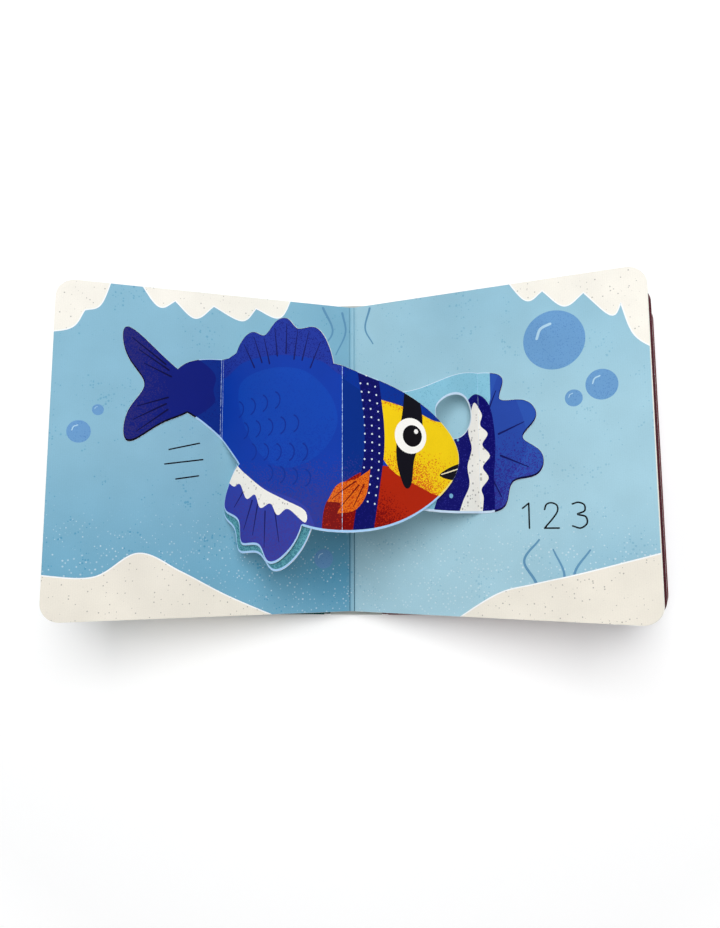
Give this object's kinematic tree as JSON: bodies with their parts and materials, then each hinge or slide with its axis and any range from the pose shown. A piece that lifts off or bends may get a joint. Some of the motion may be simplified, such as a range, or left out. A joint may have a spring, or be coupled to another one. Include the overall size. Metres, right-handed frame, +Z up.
{
  "type": "pop-up book",
  "caption": "Board pop-up book lying open, with leaves fanned in a V, a folded card fish standing over the gutter on a strut card, and two covers hinged at the spine.",
  "frame": {"origin": "on the surface the book lies on, under the middle of the spine, which is the bottom centre of the whole box", "axes": "+X across the spine towards the back cover, +Y along the gutter towards the head, +Z up"},
  "size_m": [0.3546, 0.1846, 0.0763],
  "materials": {
    "printed_board": "satin printed board",
    "spine_wrap": "satin laminated paper over board",
    "front_wrap": "satin laminated paper over board",
    "back_wrap": "satin laminated paper over board",
    "figure_card": "gloss printed card",
    "reef_card": "gloss printed card",
    "under_card": "gloss printed card",
    "folded_card": "gloss printed card"
  },
  "bodies": {
    "book_block": {"page_block": "printed_board", "spine_board": "spine_wrap", "fish_card": "figure_card", "reef_card": "reef_card", "under_card": "under_card", "folded_popup_2": "folded_card", "folded_popup_4": "folded_card", "folded_popup_5": "folded_card"},
    "front_cover": {"front_cover_board": "front_wrap", "front_pastedown": "printed_board"},
    "back_cover": {"back_cover_board": "back_wrap", "back_pastedown": "printed_board"}
  },
  "joints": [
    {"name": "front_cover_hinge", "type": "hinge", "parent": "book_block", "child": "front_cover", "pos_m": [-0.0167, 0, 0], "axis": [0, -1, 0], "range_deg": [0, 90]},
    {"name": "back_cover_hinge", "type": "hinge", "parent": "book_block", "child": "back_cover", "pos_m": [0.0167, 0, 0], "axis": [0, 1, 0], "range_deg": [0, 90]}
  ]
}
